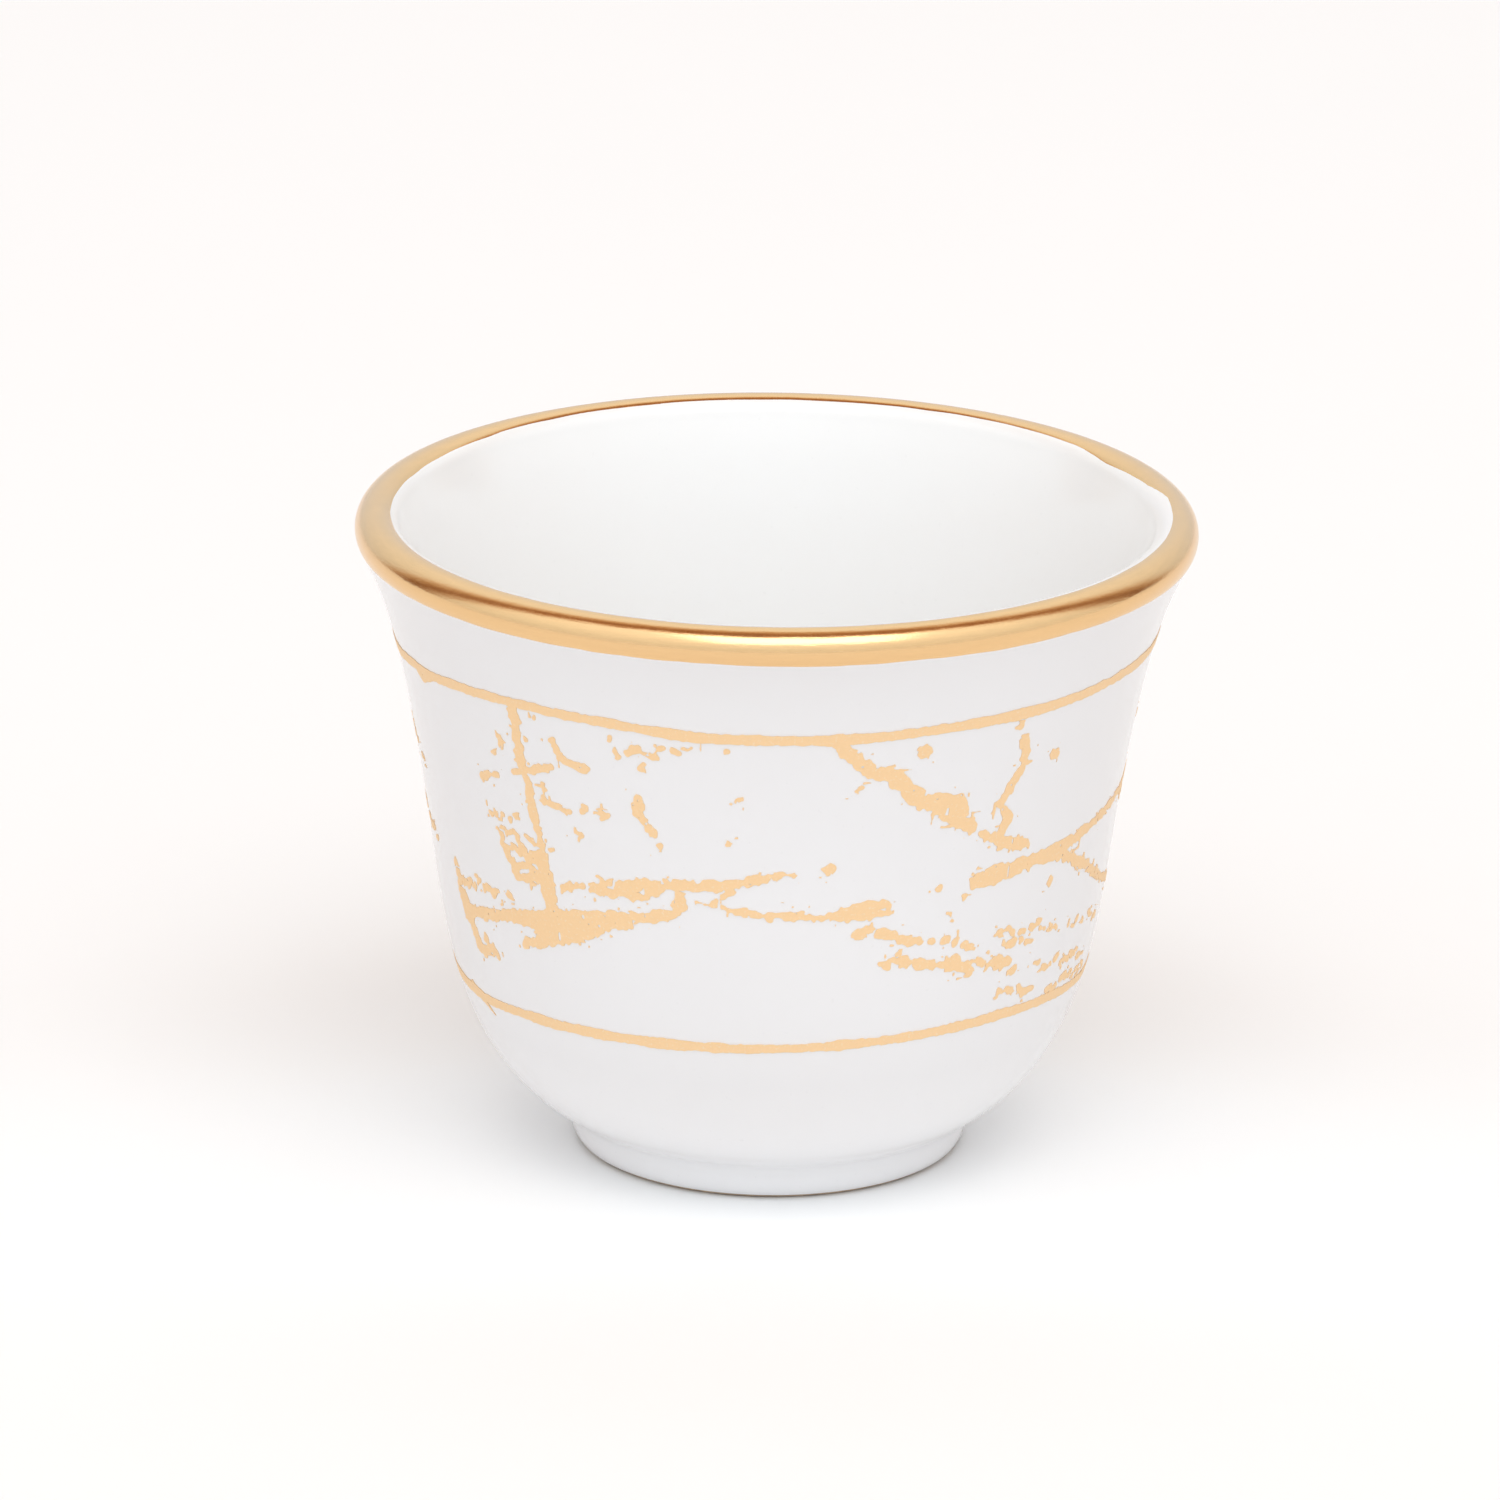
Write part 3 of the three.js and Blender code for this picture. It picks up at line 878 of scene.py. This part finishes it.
class TEACUP_OT_gold_lines(bpy.types.Operator):
    """Print the two fine gold lines that frame the pattern"""

    bl_idname = "teacup.gold_lines"
    bl_label = "Gold Lines"

    def execute(self, context):
        scene = context.scene
        cup, gold = scene.cup_shape, scene.cup_gold
        section = Section(cup)
        finish = shared_finish("print_gold", print_gold, scene.cup_colours, cup.waist)
        courses = {"upper_gold_line": (UPPER_COURSE, UPPER_BLOT, 21),
                   "lower_gold_line": (LOWER_COURSE, LOWER_BLOT, 22)}
        for node, (course, blot, seed) in courses.items():
            heights = [place[1] * MM for place in (*course, *blot)]
            room = gold.line_width * 1.5
            wall = UnrolledWall(section, cup, gold, min(heights) - room, max(heights) + room)
            line = gold.line_width / 2 / MM - np.abs(wall.above(course))
            field = np.maximum(line, wall.stroke(blot))
            grain = 0.07 * wall.noise(0.3, seed)
            waver = 0.09 * wall.noise(1.5, seed + 10)
            loss = 0.05
            field += grain + waver - loss
            name = node.replace("gold_line", "line_print")
            gold_film(name, wall, field, gold.thickness, finish, "matte_print_gold", node)
        return {"FINISHED"}


class TEACUP_OT_print(bpy.types.Operator):
    """Print the broken gold crackle on the wall, on the front and again on the back"""

    bl_idname = "teacup.print"
    bl_label = "Crackle Print"

    def execute(self, context):
        scene = context.scene
        cup, gold = scene.cup_shape, scene.cup_gold
        section = Section(cup)
        finish = shared_finish("print_gold", print_gold, scene.cup_colours, cup.waist)
        over_line, thickness = 0.6 * MM, gold.thickness * 0.8
        wall = UnrolledWall(section, cup, gold, gold.lower_line, gold.upper_line + over_line)
        between_lines = np.minimum(-wall.above(UPPER_COURSE), wall.above(LOWER_COURSE))
        facing_front, facing_back = 0, 180
        repeats = {"front": (facing_front, FRONT_MARKS, 100),
                   "back": (facing_back, BACK_MARKS, 200)}
        free, gap = np.inf, 0.1
        for side, (facing, marks, seed) in repeats.items():
            strokes = [*STROKES.values(), *self.flecks(seed)]
            near = np.max([wall.stroke(places, facing) for places in strokes], axis=0)
            field = np.minimum.reduce([*self.worn(wall, near, seed), between_lines])
            field = np.minimum(field, free)
            gold_film(
                f"{side}_crackle", wall, field, thickness, finish, "matte_print_gold", *marks)
            free = -gap - field
        return {"FINISHED"}

    @staticmethod
    def worn(wall, near, seed):
        """Strokes as a worn transfer leaves them: edges eaten away at three sizes with specks
        close by, and pits through them. Both are distances inside the gold, in mm."""
        spread, rarity, fading, soundness = 0.04, 0.66, 0.3, 0.8
        ragged = near + 0.10 * wall.noise(1.6, seed + 2) + 0.17 * wall.noise(0.55, seed) + spread
        ragged += 0.16 * wall.noise(0.3, seed + 1)
        specks = wall.noise(0.42, seed + 4) - rarity + fading * np.minimum(near, 0)
        pits = soundness - wall.noise(0.5, seed + 3)
        return np.maximum(ragged, specks), pits

    @staticmethod
    def flecks(seed):
        """Short strokes scattered along the fleck rows, and the loose dots."""
        draw = np.random.default_rng(seed)
        marks = [((angle, height, half), (angle + 0.3, height + 0.2, half))
                 for angle, height, half in DOTS]
        for (a0, h0, w0), (a1, h1, w1) in FLECK_ROWS:
            count = int(abs(a1 - a0) / FLECK_SPACING) + 1
            for share in (np.arange(count) + 0.5) / count:
                angle, height = a0 + (a1 - a0) * share, h0 + (h1 - h0) * share
                half = (w0 + (w1 - w0) * share) * draw.uniform(0.7, 1.15)
                lean, rise = draw.uniform(0.1, 0.8), draw.uniform(-0.2, 0.2)
                height += draw.uniform(-0.35, 0.35)
                angle += draw.uniform(-0.7, 0.7)
                marks.append(((angle - lean, height - rise, half * 0.8),
                              (angle + lean, height + rise, half)))
        return marks


class TEACUP_OT_stage(bpy.types.Operator):
    """Set the white table, the soft light and the camera"""

    bl_idname = "teacup.stage"
    bl_label = "Stage"

    def execute(self, context):
        scene = context.scene
        self.table(scene)
        self.room(scene)
        self.softbox(scene, place=(0.16, -1.0, 1.75), aim=(0, 0, 0.05), size=(1.5, 1.25))
        self.camera(scene)
        scene.view_settings.view_transform = "Standard"
        return {"FINISHED"}

    def table(self, scene):
        """A wide white table, a hair below the foot."""
        mesh = bpy.data.meshes.new("table")
        form = bmesh.new()
        bmesh.ops.create_grid(form, x_segments=8, y_segments=8, size=4)
        form.to_mesh(mesh)
        form.free()
        mesh.materials.append(studio_white())
        table = bpy.data.objects.new("table", mesh)
        table.location.z = -0.02 * MM
        scene.collection.objects.link(table)

    def room(self, scene):
        """A white sweep behind the cup and white fill in front, with the dim, warm room between
        them as an arch that leans back low down and widens overhead."""
        scene.world = bpy.data.worlds.new("studio")
        sky = Nodes(scene.world)
        where = sky.node("ShaderNodeTexCoord", output="Generated")
        _, back, up = sky.axes(where)
        steep = up * up * up * up
        overhead = steep * steep
        low = 1 - up
        lean = back * (1 - overhead * 0.6) + overhead * 0.18 - low * low * 0.25
        shade = sky.ramp(lean * 0.5 + 0.5, *ROOM_SHADES)
        level = sky.ramp(
            up, (0.0, WALL_LEVEL * 0.85), (0.35, WALL_LEVEL), (0.8, 0.95), (1.0, 1.0))
        lit = sky.node("ShaderNodeVectorMath", {"operation": "MULTIPLY"}, {0: shade, 1: level})
        light = sky.node("ShaderNodeBackground", inputs={"Color": lit, "Strength": ROOM_STRENGTH})
        sky.node("ShaderNodeOutputWorld", inputs={0: light})

    def softbox(self, scene, place, aim, size):
        """A lit panel of even brightness, in front of the cup and overhead."""
        data = bpy.data.lights.new("front_softbox", "AREA")
        data.shape = "RECTANGLE"
        data.size, data.size_y = size
        data.energy = SOFTBOX_STRENGTH * math.pi * size[0] * size[1]
        lamp = bpy.data.objects.new("front_softbox", data)
        lamp.location = place
        away = Vector(place) - Vector(aim)
        lamp.rotation_euler = away.to_track_quat("Z", "Y").to_euler()
        lamp.visible_camera = False
        scene.collection.objects.link(lamp)

    def camera(self, scene):
        """A long lens, a little above the lip, looking at the middle of the cup. Angles are in
        radians."""
        data = bpy.data.cameras.new("camera")
        data.sensor_width, data.lens = 36, 262.2
        aim = Vector((-1.8, 0, 32.2)) * MM
        distance = 0.8664
        elevation, heading, roll = 0.3206, -0.0022, 0.011
        ahead = Vector((math.sin(heading) * math.cos(elevation),
                        math.cos(heading) * math.cos(elevation), -math.sin(elevation)))
        right = Vector((math.cos(heading), -math.sin(heading), 0))
        turn = Matrix.Rotation(-roll, 3, ahead)
        right = turn @ right
        above = right.cross(ahead)
        pose = Matrix((right, above, -ahead)).transposed().to_4x4()
        camera = bpy.data.objects.new("camera", data)
        camera.matrix_world = Matrix.Translation(aim - ahead * distance) @ pose
        scene.collection.objects.link(camera)
        scene.camera = camera


OPERATORS = (
    TEACUP_OT_fired_clay, TEACUP_OT_glaze, TEACUP_OT_lip_gilding, TEACUP_OT_gold_lines,
    TEACUP_OT_print, TEACUP_OT_stage)


class TEACUP_PT_panel(bpy.types.Panel):
    """Lists the cup's sizes, its colours and the steps that build it"""

    bl_idname = "TEACUP_PT_panel"
    bl_label = "Porcelain Cup"
    bl_space_type = "VIEW_3D"
    bl_region_type = "UI"
    bl_category = "Cup"

    def draw(self, context):
        for step in OPERATORS:
            self.layout.operator(step.bl_idname)
        for group in (context.scene.cup_shape, context.scene.cup_gold, context.scene.cup_colours):
            box = self.layout.box()
            for key in group.bl_rna.properties.keys():
                if key not in ("rna_type", "name"):
                    box.prop(group, key)


GROUPS = {"cup_shape": CupShape, "cup_gold": CupGold, "cup_colours": CupColours}


def register():
    for group in GROUPS.values():
        bpy.utils.register_class(group)
    for name, group in GROUPS.items():
        setattr(bpy.types.Scene, name, PointerProperty(type=group))
    for step in (*OPERATORS, TEACUP_PT_panel):
        bpy.utils.register_class(step)


def unregister():
    for step in (TEACUP_PT_panel, *reversed(OPERATORS)):
        bpy.utils.unregister_class(step)
    for name, group in GROUPS.items():
        delattr(bpy.types.Scene, name)
        bpy.utils.unregister_class(group)


def main():
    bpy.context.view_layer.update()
    register()
    for step in OPERATORS:
        family, name = step.bl_idname.split(".")
        getattr(getattr(bpy.ops, family), name)()


if __name__ == "__main__":
    main()
